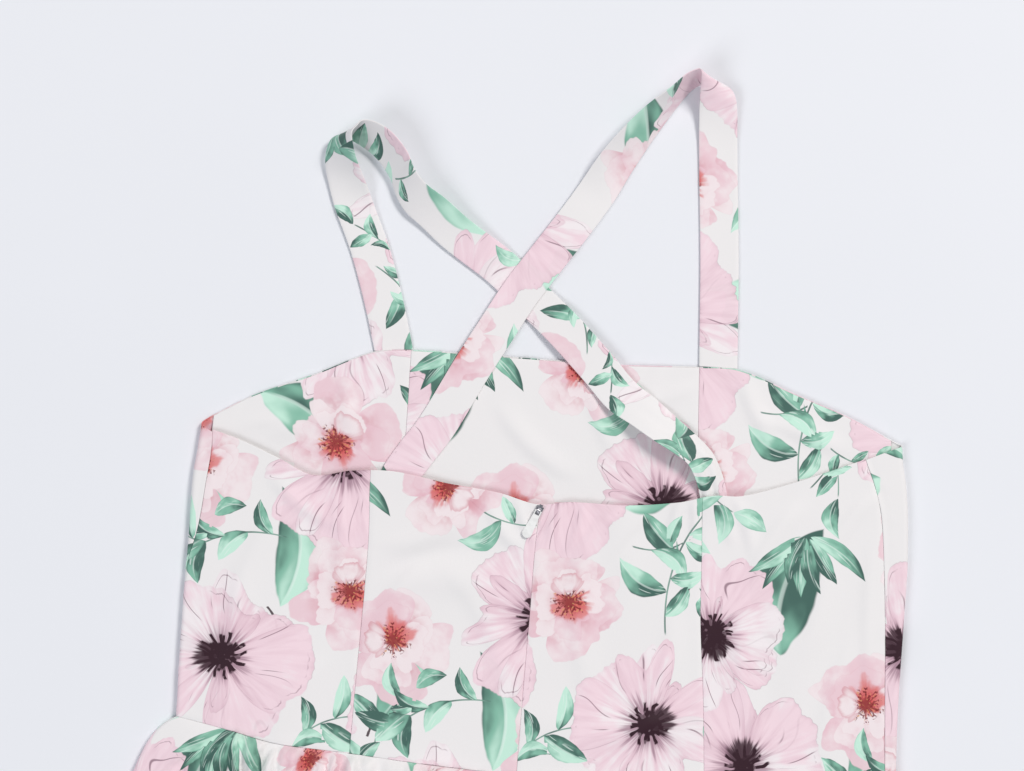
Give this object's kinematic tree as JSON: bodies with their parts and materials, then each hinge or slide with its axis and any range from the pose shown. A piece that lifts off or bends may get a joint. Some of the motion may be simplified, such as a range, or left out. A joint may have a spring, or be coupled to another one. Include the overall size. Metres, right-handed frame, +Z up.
{
  "type": "strappy sundress",
  "caption": "Sleeveless dress laid flat with its back up: panelled bodice, wide crossed straps in soft loops, closed back zip with a pull tab, and a gathered skirt.",
  "frame": {"origin": "centre of the laid dress's footprint, on the surface it lies on", "axes": "+Z up from the surface, +Y from the hem to the straps, +X to the viewer's right as the back is seen from above"},
  "size_m": [0.8418, 1.0056, 0.0256],
  "materials": {
    "floral_cloth": "smooth white cloth with a pink and green flower print",
    "floral_facing": "the same print, inside the front",
    "floral_strap": "the same print",
    "floral_skirt": "the same print, gathered",
    "zip_tape": "white woven tape",
    "slider_steel": "nickel-grey metal",
    "pull_enamel": "white enamel"
  },
  "bodies": {
    "dress": {"back_centre_left": "floral_cloth", "back_centre_right": "floral_cloth", "back_side_left": "floral_cloth", "back_side_right": "floral_cloth", "facing_centre": "floral_facing", "facing_left": "floral_facing", "facing_right": "floral_facing", "front_centre": "floral_cloth", "front_side_left": "floral_cloth", "front_side_right": "floral_cloth", "skirt_back": "floral_skirt", "skirt_front": "floral_skirt", "strap_left": "floral_strap", "strap_right": "floral_strap", "zip_slider": "slider_steel", "zip_tape": "zip_tape"},
    "pull_tab": {"zip_pull": "pull_enamel"}
  },
  "joints": [
    {"name": "zip_pull_hinge", "type": "hinge", "parent": "dress", "child": "pull_tab", "pos_m": [-0.00698, 0.22329, 0.00832], "axis": [-0.9135, 0.4067, 0], "range_deg": [0, 165]}
  ]
}
